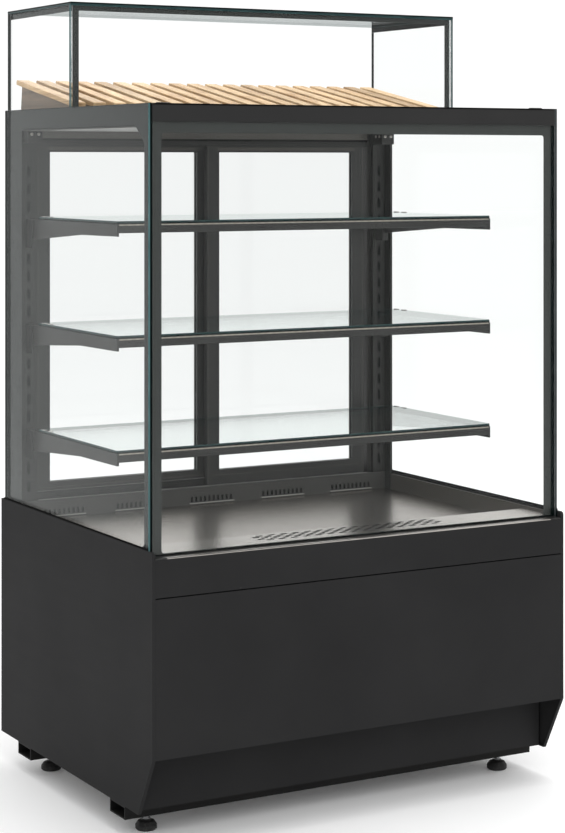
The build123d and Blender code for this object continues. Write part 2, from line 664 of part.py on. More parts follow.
# ---------------------------------------------------------------- sliding doors
for (x0, x1, y0), (w0, w1), label, grip in ((LDOOR, LWIN, "left_door", LDOOR[0] + 13), (RDOOR, RWIN, "right_door", RDOOR[1] - 13)):
    y1 = y0 + DOOR_T
    with BuildPart() as frame:
        with BuildSketch(at_y(y1)):
            rect(x0, x1, DOOR_Z0, DOOR_Z1)
            rect(w0, w1, WIN_Z0, WIN_Z1, mode=Mode.SUBTRACT)
        extrude(amount=DOOR_T)
        with BuildSketch(at_y(y0 + DOOR_T / 2 + 2.5)):
            rect(w0 - 8, w1 + 8, WIN_Z0 - 8, WIN_Z1 + 8)
        extrude(amount=5, mode=Mode.SUBTRACT)
        # finger pull
        with BuildSketch(at_y(y1 + 1)):
            with Locations((grip, 890)):
                RectangleRounded(11, 150, 5)
        extrude(amount=5.5, mode=Mode.SUBTRACT)
        # glide shoes
        with BuildSketch(at_z(TRACK_Z + 0.4)):
            for gx in (x0 + 40, x1 - 40):
                rect(gx - 15, gx + 15, y0 + 3, y0 + DOOR_T - 3)
        extrude(amount=DOOR_Z0 - TRACK_Z - 0.4)
    save(frame, label + "_frame")
    with BuildPart() as pane:
        with BuildSketch(at_y(y0 + DOOR_T / 2 + 2.5)):
            rect(w0 - 8, w1 + 8, WIN_Z0 - 8, WIN_Z1 + 8)
        extrude(amount=5)
    save(pane, label + "_glass")

# ---------------------------------------------------------------- bread case on the roof
CASE_TOP_Z = H_TOTAL - GLASS
with BuildPart() as bread_case_front_glass:
    with BuildSketch(at_y(CASE_YF + GLASS)):
        rect(-CASE_X, CASE_X, ROOF_TOP, CASE_TOP_Z)
    extrude(amount=GLASS)
    chamfer(bread_case_front_glass.edges().filter_by(Axis.Z), 0.4)
save(bread_case_front_glass, "bread_case_front_glass")

with BuildPart() as bread_case_side_glasses:
    with BuildSketch(at_z(ROOF_TOP)):
        for s in (-1, 1):
            rect(s * CASE_X, s * (CASE_X - GLASS), CASE_YF + GLASS, CASE_YR)
    extrude(amount=CASE_TOP_Z - ROOF_TOP)
save(bread_case_side_glasses, "bread_case_side_glasses")

with BuildPart() as bread_case_top_glass:
    with BuildSketch(at_z(CASE_TOP_Z)):
        rect(-CASE_X, CASE_X, CASE_YF, CASE_YR)
    extrude(amount=GLASS)
    chamfer(bread_case_top_glass.faces().sort_by(Axis.Z)[-1].edges(), 0.5)
save(bread_case_top_glass, "bread_case_top_glass")

# ---------------------------------------------------------------- wooden rack
SLOPE = atan2(SLAT_ZR - SLAT_ZF, SLAT_YR - SLAT_YF)
SLAT_LEN = hypot(SLAT_ZR - SLAT_ZF, SLAT_YR - SLAT_YF)
# slat plane: u along x, v up the slope, normal out of the top face
slat_plane = Plane(origin=(0, SLAT_YF, SLAT_ZF), x_dir=(1, 0, 0), z_dir=(0, -sin(SLOPE), cos(SLOPE)))
with BuildPart() as rack_slats:
    with BuildSketch(slat_plane.offset(-SLAT_T)):
        with Locations((0, SLAT_LEN / 2)):
            with GridLocations(SLAT_PITCH, 1, SLATS, 1):
                Rectangle(SLAT_W, SLAT_LEN)
    extrude(amount=SLAT_T)
    fillet(rack_slats.edges().filter_by(Axis.X), 2.5)
    fillet(rack_slats.edges().filter_by(lambda e: abs(e.length - (SLAT_LEN - 5)) < 1.0), 1.2)
save(rack_slats, "rack_slats")


def under(y, gap=0.0):
    # height of the slats' underside at y
    return SLAT_ZF + (y - SLAT_YF) * tan(SLOPE) - SLAT_T / cos(SLOPE) - gap


with BuildPart() as rack_frame:
    for s in (-1, 1):
        with BuildSketch(at_x(min(s * 405.0, s * 421.0))):
            profile((52, ROOF_TOP), (52, under(52)), (312, under(312)), (318, ROOF_TOP))
        extrude(amount=16)
    for y0, y1, h in ((290, 308, 34), (160, 176, 22)):
        with BuildSketch(at_x(-404.9)):
            profile((y0, under(y0) - h), (y0, under(y0)), (y1, under(y1)), (y1, under(y0) - h))
        extrude(amount=809.8)
save(rack_frame, "rack_frame")
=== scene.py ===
import bpy
import bmesh
import math
import random
from mathutils import Vector, Matrix


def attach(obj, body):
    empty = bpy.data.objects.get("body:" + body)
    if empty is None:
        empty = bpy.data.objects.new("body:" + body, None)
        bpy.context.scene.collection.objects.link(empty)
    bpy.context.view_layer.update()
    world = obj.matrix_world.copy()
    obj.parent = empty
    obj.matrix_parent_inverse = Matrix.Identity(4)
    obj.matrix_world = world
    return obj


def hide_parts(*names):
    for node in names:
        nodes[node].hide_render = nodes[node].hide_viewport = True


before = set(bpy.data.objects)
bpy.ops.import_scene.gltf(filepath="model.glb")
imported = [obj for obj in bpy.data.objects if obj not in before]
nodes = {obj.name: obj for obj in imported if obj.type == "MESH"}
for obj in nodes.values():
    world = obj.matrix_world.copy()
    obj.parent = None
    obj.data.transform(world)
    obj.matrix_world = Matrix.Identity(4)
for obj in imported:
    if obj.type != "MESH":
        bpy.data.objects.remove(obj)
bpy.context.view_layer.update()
scene = bpy.context.scene

# ------------------------------------------------------------------ camera
cam_data = bpy.data.cameras.new("camera")
cam = bpy.data.objects.new("camera", cam_data)
scene.collection.objects.link(cam)
cam.location = (-2.0907, -3.7185, 1.2235)
cam.rotation_euler = (math.radians(90), 0, math.radians(-29.50))
cam_data.sensor_width = 36
cam_data.lens = 91.68
cam_data.shift_x = 0.0
cam_data.shift_y = -0.3058
cam_data.clip_end = 200
scene.camera = cam
scene.view_settings.view_transform = "Standard"
scene.view_settings.look = "None"


# ------------------------------------------------------------------ material tools
class Tree:
    def __init__(self, name):
        self.mat = bpy.data.materials.new(name)
        self.mat.use_nodes = True
        self.nt = self.mat.node_tree
        self.nt.nodes.clear()
        self.out = self.node("ShaderNodeOutputMaterial")
        self.coord = self.node("ShaderNodeTexCoord").outputs["Object"]

    def node(self, kind, **props):
        n = self.nt.nodes.new(kind)
        for k, v in props.items():
            setattr(n, k, v)
        return n

    def link(self, a, b):
        self.nt.links.new(a, b)

    def put(self, socket, value):
        if isinstance(value, bpy.types.NodeSocket):
            self.link(value, socket)
        else:
            socket.default_value = value

    def scaled(self, scale, offset=(0, 0, 0), turn=(0, 0, 0)):
        m = self.node("ShaderNodeMapping")
        self.link(self.coord, m.inputs["Vector"])
        m.inputs["Scale"].default_value = scale
        m.inputs["Location"].default_value = offset
        m.inputs["Rotation"].default_value = turn
        return m.outputs["Vector"]

    def noise(self, scale, detail=3.0, rough=0.55, vec=None, distortion=0.0):
        n = self.node("ShaderNodeTexNoise")
        self.link(vec if vec is not None else self.coord, n.inputs["Vector"])
        n.inputs["Scale"].default_value = scale
        n.inputs["Detail"].default_value = detail
        n.inputs["Roughness"].default_value = rough
        n.inputs["Distortion"].default_value = distortion
        return n.outputs["Fac"]

    def ramp(self, fac, *stops):
        r = self.node("ShaderNodeValToRGB")
        self.link(fac, r.inputs["Fac"])
        el = r.color_ramp.elements
        while len(el) < len(stops):
            el.new(0.5)
        for e, (pos, col) in zip(el, stops):
            e.position = pos
            e.color = (col, col, col, 1) if isinstance(col, (int, float)) else (*col, 1)
        return r.outputs["Color"]

    def mix(self, fac, a, b, blend="MIX"):
        m = self.node("ShaderNodeMix", data_type="RGBA", blend_type=blend)
        self.put(m.inputs["Factor"], fac)
        for s, v in ((m.inputs[6], a), (m.inputs[7], b)):
            self.put(s, v if isinstance(v, bpy.types.NodeSocket) else (*v, 1))
        return m.outputs[2]

    def math(self, op, a, b=0.0, c=0.0):
        m = self.node("ShaderNodeMath", operation=op)
        for s, v in zip(m.inputs, (a, b, c)):
            self.put(s, v)
        return m.outputs[0]

    def bump(self, height, strength, distance, under=None):
        b = self.node("ShaderNodeBump")
        self.put(b.inputs["Height"], height)
        b.inputs["Strength"].default_value = strength
        b.inputs["Distance"].default_value = distance
        if under is not None:
            self.link(under, b.inputs["Normal"])
        return b.outputs["Normal"]

    def surface(self, color, rough, normal=None, metallic=0.0, specular=0.5, coat=0.0, coat_rough=0.1,
                sheen=0.0, aniso=0.0, emission=None, emit=0.0, ior=1.5):
        p = self.node("ShaderNodeBsdfPrincipled")
        self.put(p.inputs["Base Color"], color if isinstance(color, bpy.types.NodeSocket) else (*color, 1))
        self.put(p.inputs["Roughness"], rough)
        p.inputs["Metallic"].default_value = metallic
        p.inputs["Specular IOR Level"].default_value = specular
        p.inputs["IOR"].default_value = ior
        p.inputs["Coat Weight"].default_value = coat
        p.inputs["Coat Roughness"].default_value = coat_rough
        p.inputs["Sheen Weight"].default_value = sheen
        p.inputs["Anisotropic"].default_value = aniso
        if emission is not None:
            p.inputs["Emission Color"].default_value = (*emission, 1)
            p.inputs["Emission Strength"].default_value = emit
        if normal is not None:
            self.link(normal, p.inputs["Normal"])
        return p.outputs["BSDF"]

    def done(self, shader):
        self.link(shader, self.out.inputs["Surface"])
        return self.mat


def painted(name, dark, light, rough=(0.36, 0.5), specular=0.3, peel=0.05, peel_scale=900, coat=0.0, dust=0.06, dust_col=(0.10, 0.095, 0.09)):
    """Powder coat or satin paint: orange peel, patches of different gloss, dust and faint wiped streaks."""
    t = Tree(name)
    patches = t.noise(3.5, 4)
    col = t.mix(t.ramp(patches, (0.35, 0.0), (0.7, 1.0)), dark, light)
    wipes = t.noise(6, 5, 0.6, vec=t.scaled((1, 1, 7), turn=(0.25, 0.3, 0)))
    specks = t.ramp(t.noise(420, 2), (0.66, 0.0), (0.78, 1.0))
    col = t.mix(t.math("MULTIPLY", specks, dust), col, dust_col)
    r = t.math("MULTIPLY_ADD", wipes, rough[1] - rough[0], rough[0])
    r = t.math("MULTIPLY_ADD", specks, 0.08, r)
    n = t.bump(t.noise(peel_scale, 2, 0.5), peel, 0.0004)
    n = t.bump(t.noise(1.6, 2), 0.05, 0.004, under=n)
    return t.done(t.surface(col, r, n, specular=specular, coat=coat))


def brushed(name, base, shade, axis, rough=(0.26, 0.4), grain=0.12, aniso=0.4, streak=260, smudge=0.07):
    """Brushed sheet: fine scratches along one axis, wiped patches and a few smudges."""
    t = Tree(name)
    long = {"x": (0.9, 26, 26), "y": (26, 0.9, 26), "z": (26, 26, 0.9)}[axis]
    lines = t.noise(streak / 26, 4, 0.65, vec=t.scaled(long))
    fine = t.noise(streak / 7, 2, 0.6, vec=t.scaled(long))
    both = t.math("MULTIPLY_ADD", fine, 0.5, t.math("MULTIPLY", lines, 0.5))
    col = t.mix(t.ramp(both, (0.36, 0.0), (0.64, 1.0)), shade, base)
    cloud = t.noise(2.2, 4, 0.6)
    col = t.mix(t.math("MULTIPLY", t.ramp(cloud, (0.4, 0.0), (0.75, 1.0)), 0.22), col, tuple(c * 0.72 for c in base))
    prints = t.ramp(t.noise(17, 5, 0.7, distortion=0.8), (0.58, 0.0), (0.7, 1.0))
    r = t.math("MULTIPLY_ADD", both, rough[1] - rough[0], rough[0])
    r = t.math("MULTIPLY_ADD", prints, smudge, r)
    n = t.bump(both, grain, 0.0002)
    return t.done(t.surface(col, r, n, metallic=1.0, aniso=aniso))


def moulded(name, dark, light, rough=(0.38, 0.55), texture=0.12, scale=700, specular=0.4):
    t = Tree(name)
    col = t.mix(t.noise(9, 3), dark, light)
    wear = t.ramp(t.noise(60, 4, 0.7), (0.6, 0.0), (0.75, 1.0))
    col = t.mix(t.math("MULTIPLY", wear, 0.12), col, tuple(min(1, c * 1.8 + 0.02) for c in light))
    r = t.math("MULTIPLY_ADD", t.noise(25, 4), rough[1] - rough[0], rough[0])
    n = t.bump(t.noise(scale, 3, 0.6), texture, 0.0004)
    return t.done(t.surface(col, r, n, specular=specular))


def clear_glass(name, tint, gloss=(0.0, 0.03), r0=0.013, power=6.3, haze=0.0, shine_col=(0.95, 0.98, 0.97)):
    """Clear pane: see-through, with a mirror share that rises towards grazing angles, and faint wiped smears."""
    t = Tree(name)
    through = t.node("ShaderNodeBsdfTransparent")
    through.inputs["Color"].default_value = (*tint, 1)
    shine = t.node("ShaderNodeBsdfGlossy")
    shine.inputs["Color"].default_value = (*shine_col, 1)
    smear = t.noise(5, 5, 0.65, vec=t.scaled((1, 1, 2.2)), distortion=0.5)
    t.put(shine.inputs["Roughness"], t.math("MULTIPLY_ADD", t.ramp(smear, (0.45, 0.0), (0.75, 1.0)), gloss[1] - gloss[0], gloss[0]))
    facing = t.node("ShaderNodeLayerWeight")
    facing.inputs["Blend"].default_value = 0.5
    rise = t.math("POWER", facing.outputs["Facing"], power)
    share = t.math("MULTIPLY_ADD", rise, 1.0 - r0, r0)
    share = t.math("MULTIPLY_ADD", t.ramp(smear, (0.55, 0.0), (0.8, 1.0)), haze, share)
    m = t.node("ShaderNodeMixShader")
    t.link(share, m.inputs[0])
    t.link(through.outputs[0], m.inputs[1])
    t.link(shine.outputs[0], m.inputs[2])
    return t.done(m.outputs[0])


def glass_edge(name, deep, bright, glow, specular=0.3, coat=0.0):
    """Ground and polished edge of a pane: green body colour with pale scuffs along it, and a faint painted glow from
    its emission.
    """
    t = Tree(name)
    run = t.noise(30, 4, 0.6, vec=t.scaled((1, 1, 0.6)))
    col = t.mix(t.ramp(run, (0.35, 0.0), (0.7, 1.0)), deep, bright)
    grind = t.noise(900, 2)
    r = t.math("MULTIPLY_ADD", grind, 0.10, 0.2)
    # the emission is a painted glow: the glass edge is no lamp
    return t.done(t.surface(col, r, t.bump(grind, 0.01, 0.0001), specular=specular, coat=coat, coat_rough=0.08, emission=bright, emit=glow))


def printed(name, dark, light, specular=0.35):
    """Ceramic print on glass: very fine dot texture under gloss."""
    t = Tree(name)
    dots = t.noise(1500, 2)
    col = t.mix(t.math("MULTIPLY_ADD", dots, 0.5, t.math("MULTIPLY", t.noise(4, 3), 0.5)), dark, light)
    r = t.math("MULTIPLY_ADD", t.noise(12, 4), 0.12, 0.16)
    return t.done(t.surface(col, r, t.bump(dots, 0.008, 0.0001), specular=specular))


def oak(name, base, deep, pale, along="slat"):
    """Oiled oak: long grain with pores and bands, its tone changing from board to board."""
    t = Tree(name)
    sep = t.node("ShaderNodeSeparateXYZ")
    t.link(t.coord, sep.inputs[0])
    if along == "slat":
        board = t.math("FLOOR", t.math("DIVIDE", t.math("ADD", sep.outputs[0], 0.434), 0.0434))
    else:
        board = t.math("FLOOR", t.math("MULTIPLY", sep.outputs[0], 3.1))
    shift = t.node("ShaderNodeCombineXYZ")
    t.link(t.math("MULTIPLY", board, 3.7), shift.inputs[0])
    t.link(t.math("MULTIPLY", board, 1.9), shift.inputs[1])
    t.link(t.math("MULTIPLY", board, 5.3), shift.inputs[2])
    add = t.node("ShaderNodeVectorMath", operation="ADD")
    t.link(t.coord, add.inputs[0])
    t.link(shift.outputs[0], add.inputs[1])
    m = t.node("ShaderNodeMapping")
    t.link(add.outputs[0], m.inputs["Vector"])
    m.inputs["Scale"].default_value = (1.0, 0.07, 1.0)
    warp = t.noise(9, 3, 0.6, vec=m.outputs["Vector"], distortion=1.2)
    m2 = t.node("ShaderNodeMapping")
    t.link(add.outputs[0], m2.inputs["Vector"])
    m2.inputs["Scale"].default_value = (1.0, 0.035, 1.0)
    bands = t.noise(110, 4, 0.6, vec=m2.outputs["Vector"], distortion=0.6)
    pores = t.noise(620, 2, 0.6, vec=m2.outputs["Vector"])
    col = t.mix(t.ramp(bands, (0.36, 0.0), (0.66, 1.0)), deep, base)
    col = t.mix(t.ramp(warp, (0.42, 0.0), (0.68, 0.75)), col, pale)
    porous = t.ramp(pores, (0.3, 1.0), (0.42, 0.0))
    col = t.mix(t.math("MULTIPLY", porous, 0.45), col, tuple(c * 0.45 for c in deep))
    tone = t.node("ShaderNodeTexWhiteNoise", noise_dimensions="1D")
    t.link(board, tone.inputs["W"])
    val = t.math("MULTIPLY_ADD", tone.outputs["Value"], 0.32, 0.80)
    hsv = t.node("ShaderNodeHueSaturation")
    t.link(col, hsv.inputs["Color"])
    t.link(val, hsv.inputs["Value"])
    r = t.math("MULTIPLY_ADD", bands, 0.15, 0.42)
    h = t.math("MULTIPLY_ADD", porous, -0.6, bands)
    return t.done(t.surface(hsv.outputs[0], r, t.bump(h, 0.16, 0.0004), specular=0.35))


# ------------------------------------------------------------------ materials
M = {}
M["panel"] = painted("panel_black", (0.0192, 0.0192, 0.0196), (0.0234, 0.0234, 0.0238), rough=(0.44, 0.54), specular=0.02, peel=0.04)
# darker copy of the panel paint for the parts under the case: painted shade under the cabinet, with a rougher finish
# and more dust
M["panel_lower"] = painted("panel_black_rough_shaded", (0.007, 0.007, 0.007), (0.011, 0.0105, 0.010), rough=(0.5, 0.64), specular=0.12, dust=0.15)
M["frame"] = painted("frame_dark", (0.021, 0.021, 0.0205), (0.028, 0.028, 0.027), rough=(0.34, 0.46), specular=0.22, peel=0.03, peel_scale=1200)
M["header"] = painted("header_dark", (0.016, 0.016, 0.016), (0.020, 0.020, 0.020), rough=(0.36, 0.46), specular=0.14, peel=0.03, peel_scale=1200)
M["roof"] = painted("roof_dark", (0.014, 0.014, 0.014), (0.02, 0.02, 0.02), rough=(0.42, 0.55), specular=0.25, dust=0.2)
M["door"] = painted("aluminium_dark", (0.026, 0.026, 0.0255), (0.035, 0.035, 0.034), rough=(0.28, 0.4), specular=0.28, peel=0.02, peel_scale=1400)
M["liner"] = painted("liner_brown_grey", (0.055, 0.049, 0.043), (0.075, 0.066, 0.058), rough=(0.3, 0.42), specular=0.4, peel=0.03)
M["ceiling"] = painted("ceiling_warm", (0.085, 0.078, 0.070), (0.105, 0.096, 0.086), rough=(0.3, 0.42), specular=0.4, peel=0.03)
M["steel_x"] = brushed("stainless", (0.455, 0.418, 0.384), (0.438, 0.402, 0.369), "x", rough=(0.26, 0.28), grain=0.003, aniso=0.0, smudge=0.0)
M["strip_light"] = brushed("strip_light", (0.52, 0.51, 0.49), (0.36, 0.35, 0.34), "x", rough=(0.3, 0.45))
M["steel_lip"] = brushed("stainless_lip", (0.48, 0.45, 0.42), (0.455, 0.427, 0.40), "x", rough=(0.26, 0.30), grain=0.004, aniso=0.0, smudge=0.0)
M["steel_z"] = brushed("stainless_small", (0.72, 0.71, 0.69), (0.5, 0.49, 0.48), "z", rough=(0.16, 0.3), streak=700)
M["zinc"] = brushed("zinc_steel", (0.60, 0.61, 0.62), (0.42, 0.43, 0.45), "x", rough=(0.3, 0.5), aniso=0.0, streak=120)
M["tub"] = painted("tub_skin", (0.10, 0.10, 0.10), (0.145, 0.145, 0.142), rough=(0.4, 0.55), specular=0.4, peel_scale=300, dust=0.25)
M["void"] = moulded("shadow_black", (0.0015, 0.0015, 0.0015), (0.003, 0.003, 0.003), rough=(0.7, 0.9), specular=0.05)
# also the colour of the painted highlight lines on the door frames
M["warm_bead_and_painted_highlight"] = painted("warm_bead_and_painted_highlight", (0.060, 0.055, 0.049), (0.078, 0.071, 0.064), rough=(0.28, 0.4), specular=0.3, peel=0.02)
M["rubber"] = moulded("rubber_black", (0.010, 0.010, 0.010), (0.020, 0.020, 0.020), rough=(0.55, 0.75), scale=1200, specular=0.25)
M["hinge_black"] = moulded("hinge_black", (0.006, 0.006, 0.006), (0.011, 0.011, 0.011), specular=0.1)
M["plastic"] = moulded("plastic_black", (0.014, 0.014, 0.015), (0.022, 0.022, 0.023))
M["plastic_grey"] = moulded("plastic_grey", (0.16, 0.165, 0.17), (0.22, 0.225, 0.23))
M["copper"] = brushed("copper_pipe", (0.72, 0.36, 0.22), (0.45, 0.2, 0.12), "z", rough=(0.25, 0.5), aniso=0.0, streak=90)
M["oak"] = oak("oak", (0.71, 0.485, 0.262), (0.40, 0.228, 0.100), (0.84, 0.62, 0.375))
# darker copy of the oak for the rack frame's side boards under the slats: painted shade
M["oak_frame"] = oak("oak_frame", (0.250, 0.168, 0.108), (0.110, 0.070, 0.042), (0.34, 0.240, 0.160), along="board")
M["glass"] = clear_glass("glass_clear", (0.985, 0.990, 0.988), r0=0.009, power=6.8)
M["glass_top"] = clear_glass("glass_case_top", (0.985, 0.990, 0.988), r0=0.02, power=5.0, shine_col=(0.62, 0.65, 0.65))
M["glass_door"] = clear_glass("glass_doors", (0.935, 0.940, 0.939), haze=0.004)
M["glass_shelf"] = clear_glass("glass_shelves", (0.975, 0.980, 0.979), gloss=(0.01, 0.05), power=5.0, r0=0.03, haze=0.01)
# light, mid, dark and grey are lit and shaded copies of one glass edge: painted light and painted shade, with a painted
# glow on the light and mid ones
M["edge_light"] = glass_edge("glass_edge_light", (0.040, 0.100, 0.104), (0.070, 0.145, 0.148), 0.02, 0.2)
M["edge_mid"] = glass_edge("glass_edge_mid", (0.012, 0.034, 0.035), (0.022, 0.052, 0.053), 0.01, 0.15)
M["edge_dark"] = glass_edge("glass_edge_dark", (0.0020, 0.0050, 0.0052), (0.0040, 0.0090, 0.0092), 0.0, 0.04)
M["edge_grey"] = glass_edge("glass_edge_grey", (0.034, 0.040, 0.041), (0.050, 0.058, 0.059), 0.0, 0.15)
M["print"] = printed("glass_printed", (0.026, 0.029, 0.0275), (0.034, 0.037, 0.035), specular=0.15)
# the side copy is darker than the front print: painted shade on the side panes
M["print_side"] = printed("glass_printed_side", (0.015, 0.017, 0.017), (0.020, 0.022, 0.022), specular=0.06)


def led_material():
    t = Tree("led_diffuser")
    sep = t.node("ShaderNodeSeparateXYZ")
    t.link(t.coord, sep.inputs[0])
    # the diodes show as soft warm spots along the strip
    wave = t.math("SINE", t.math("MULTIPLY", sep.outputs[0], 2 * math.pi / 0.0166))
    spots = t.ramp(t.math("MULTIPLY_ADD", wave, 0.5, 0.5), (0.2, (0.25, 0.225, 0.19)), (0.9, (0.34, 0.31, 0.265)))
    ceiling = t.math("GREATER_THAN", sep.outputs[2], 1.2)
    cover = t.mix(t.noise(40, 3), (0.075, 0.070, 0.062), (0.095, 0.088, 0.078))
    frost = t.noise(600, 2)
    return t.done(t.surface(t.mix(ceiling, spots, cover), t.math("MULTIPLY_ADD", frost, 0.2, 0.3), t.bump(frost, 0.08, 0.0002), specular=0.3))


M["led"] = led_material()


def fin_material():
    t = Tree("aluminium_fins")
    wave = t.node("ShaderNodeTexWave", bands_direction="X")
    t.link(t.coord, wave.inputs["Vector"])
    wave.inputs["Scale"].default_value = 160
    wave.inputs["Distortion"].default_value = 0.4
    wave.inputs["Detail"].default_value = 1.0
    # dark bands between the bright fins: painted shade in the gaps between fins
    col = t.mix(t.ramp(wave.outputs["Fac"], (0.25, 0.0), (0.7, 1.0)), (0.10, 0.10, 0.11), (0.66, 0.67, 0.69))
    col = t.mix(t.math("MULTIPLY", t.noise(8, 4), 0.35), col, (0.30, 0.29, 0.27))
    return t.done(t.surface(col, t.math("MULTIPLY_ADD", t.noise(40, 3), 0.2, 0.3), t.bump(wave.outputs["Fac"], 0.7, 0.001), metallic=0.85))


M["fins"] = fin_material()


def display_material():
    t = Tree("display_window")
    col = t.mix(t.noise(30, 3), (0.010, 0.004, 0.004), (0.018, 0.007, 0.006))
    return t.done(t.surface(col, t.math("MULTIPLY_ADD", t.noise(14, 4), 0.08, 0.06), specular=0.5, coat=0.5, coat_rough=0.05))


def glow_material(name, col, power):
    t = Tree(name)
    c = t.mix(t.noise(300, 2), tuple(v * 0.85 for v in col), col)
    return t.done(t.surface(c, t.math("MULTIPLY_ADD", t.noise(90, 2), 0.15, 0.3), emission=col, emit=power))


M["display"] = display_material()
M["digit"] = glow_material("display_digit", (0.9, 0.06, 0.03), 1.6)
M["legend"] = moulded("key_legend", (0.55, 0.55, 0.54), (0.68, 0.68, 0.67), texture=0.04)
M["switch_green"] = moulded("switch_green", (0.02, 0.20, 0.07), (0.03, 0.27, 0.10), rough=(0.22, 0.35), texture=0.04)

# ------------------------------------------------------------------ CAD nodes take their finish
FINISH = {
    "panel": "left_side_panel right_side_panel front_fascia lower_front_panel kick_panel",
    "panel_lower": "cross_beams base_frame service_grille condenser_fan_shroud compressor",
    "header": "header_profile",
    "frame": "rear_posts door_tracks slotted_uprights shelf_brackets shelf_front_rails",
    "outlet": "rear_air_outlet",
    "roof": "roof_panel",
    "door": "left_door_frame right_door_frame",
    "liner": "deck_side_liners",
    "steel_x": "deck_plate deck_front_ledge",
    "steel_lip": "front_lip",
    "zinc": "evaporation_tray",
    "tub": "insulated_tub",
    "rubber": "glass_seals",
    "hinge_black": "hinge_blocks",
    "plastic": "control_panel cable_gland evaporator_fan condenser_fan evaporator_fan_housing",
    "plastic_grey": "electrical_box key_set key_down key_up power_switch",
    "switch_green": "light_switch",
    "fins": "evaporator_coil condenser_coil",
    "copper": "refrigerant_pipes",
    "led": "led_lamps",
    "oak": "rack_slats",
    "oak_frame": "rack_frame",
    "glass_door": "left_door_glass right_door_glass",
    "glass": "left_side_glass right_side_glass front_glass bread_case_front_glass bread_case_side_glasses bread_case_top_glass",
    "glass_shelf": "shelf_1_glass shelf_2_glass shelf_3_glass",
}


def foot_material():
    t = Tree("foot_rubber_and_stem")
    sep = t.node("ShaderNodeSeparateXYZ")
    t.link(t.coord, sep.inputs[0])
    stem = t.math("GREATER_THAN", sep.outputs[2], 0.0202)
    scuff = t.ramp(t.noise(160, 4, 0.7), (0.5, 0.0), (0.72, 1.0))
    pad = t.mix(t.math("MULTIPLY", scuff, 0.5), (0.012, 0.012, 0.012), (0.06, 0.057, 0.053))
    metal = t.mix(t.noise(60, 3), (0.34, 0.34, 0.35), (0.52, 0.52, 0.53))
    thread = t.math("SINE", t.math("MULTIPLY", sep.outputs[2], 2 * math.pi / 0.0015))
    a = t.surface(pad, 0.6, t.bump(scuff, 0.3, 0.0004), specular=0.3)
    b = t.surface(metal, 0.32, t.bump(thread, 0.4, 0.0006), metallic=1.0)
    m = t.node("ShaderNodeMixShader")
    t.link(stem, m.inputs[0])
    t.link(a, m.inputs[1])
    t.link(b, m.inputs[2])
    return t.done(m.outputs[0])


def outlet_material():
    """Dark strip with pale lips under its vents; the pale is a painted highlight."""
    t = Tree("air_outlet")
    sep = t.node("ShaderNodeSeparateXYZ")
    t.link(t.coord, sep.inputs[0])
    lip = t.math("LESS_THAN", sep.outputs[1], 0.28295)
    dark = t.mix(t.noise(5, 4), (0.040, 0.039, 0.037), (0.054, 0.052, 0.050))
    # pale colour of the lips: painted highlight
    pale = t.mix(t.noise(60, 3, vec=t.scaled((0.2, 1, 1))), (0.30, 0.29, 0.275), (0.42, 0.41, 0.39))
    r = t.math("MULTIPLY_ADD", t.noise(20, 4), 0.12, 0.32)
    return t.done(t.surface(t.mix(lip, dark, pale), r, t.bump(t.noise(900, 2), 0.04, 0.0003), specular=0.35))


M["outlet"] = outlet_material()
M["foot"] = foot_material()
FINISH["foot"] = "foot_front_left foot_front_right foot_rear_left foot_rear_right"

for key, names in FINISH.items():
    for n in names.split():
        ob = nodes[n]
        ob.data.materials.clear()
        ob.data.materials.append(M[key])


# ------------------------------------------------------------------ mesh tools (metres)
def new_object(name, bm, mats, body, smooth=False):
    me = bpy.data.meshes.new(name)
    bm.normal_update()
    bm.to_mesh(me)
    bm.free()
    ob = bpy.data.objects.new(name, me)
    scene.collection.objects.link(ob)
    for m in (mats if isinstance(mats, (list, tuple)) else [mats]):
        me.materials.append(m)
    if smooth:
        for p in me.polygons:
            p.use_smooth = True
    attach(ob, body)
    return ob


def add_box(bm, x0, x1, y0, y1, z0, z1, bevel=0.0, segments=2, index=0):
    x0, x1, y0, y1, z0, z1 = min(x0, x1), max(x0, x1), min(y0, y1), max(y0, y1), min(z0, z1), max(z0, z1)
    got = bmesh.ops.create_cube(bm, size=1.0)
    for v in got["verts"]:
        v.co = Vector(((x0 + x1) / 2 + v.co.x * (x1 - x0), (y0 + y1) / 2 + v.co.y * (y1 - y0), (z0 + z1) / 2 + v.co.z * (z1 - z0)))
    faces = list({f for v in got["verts"] for f in v.link_faces})
    for f in faces:
        f.material_index = index
    if bevel > 0:
        edges = list({e for v in got["verts"] for e in v.link_edges})
        res = bmesh.ops.bevel(bm, geom=edges, offset=bevel, segments=segments, profile=0.5, affect="EDGES")
        for f in res["faces"]:
            f.material_index = index
    return got


def boxes(name, items, mat, body, bevel=0.0004):
    bm = bmesh.new()
    for it in items:
        add_box(bm, *it, bevel=bevel)
    return new_object(name, bm, mat, body)


def lathe(bm, centre, axis, rings, seg=20, index=0):
    """rings: (distance along the axis, radius); closed at both ends."""
    axis = Vector(axis).normalized()
    side = axis.orthogonal().normalized()
    up = axis.cross(side)
    loops = []
    for d, r in rings:
        loops.append([bm.verts.new(Vector(centre) + axis * d + (side * math.cos(a) + up * math.sin(a)) * r)
                      for a in (2 * math.pi * k / seg for k in range(seg))])
    for a, b in zip(loops, loops[1:]):
        for k in range(seg):
            f = bm.faces.new((a[k], a[(k + 1) % seg], b[(k + 1) % seg], b[k]))
            f.material_index = index
            f.smooth = True
    for loop, flip in ((loops[0], True), (loops[-1], False)):
        f = bm.faces.new(list(reversed(loop)) if flip else loop)
        f.material_index = index


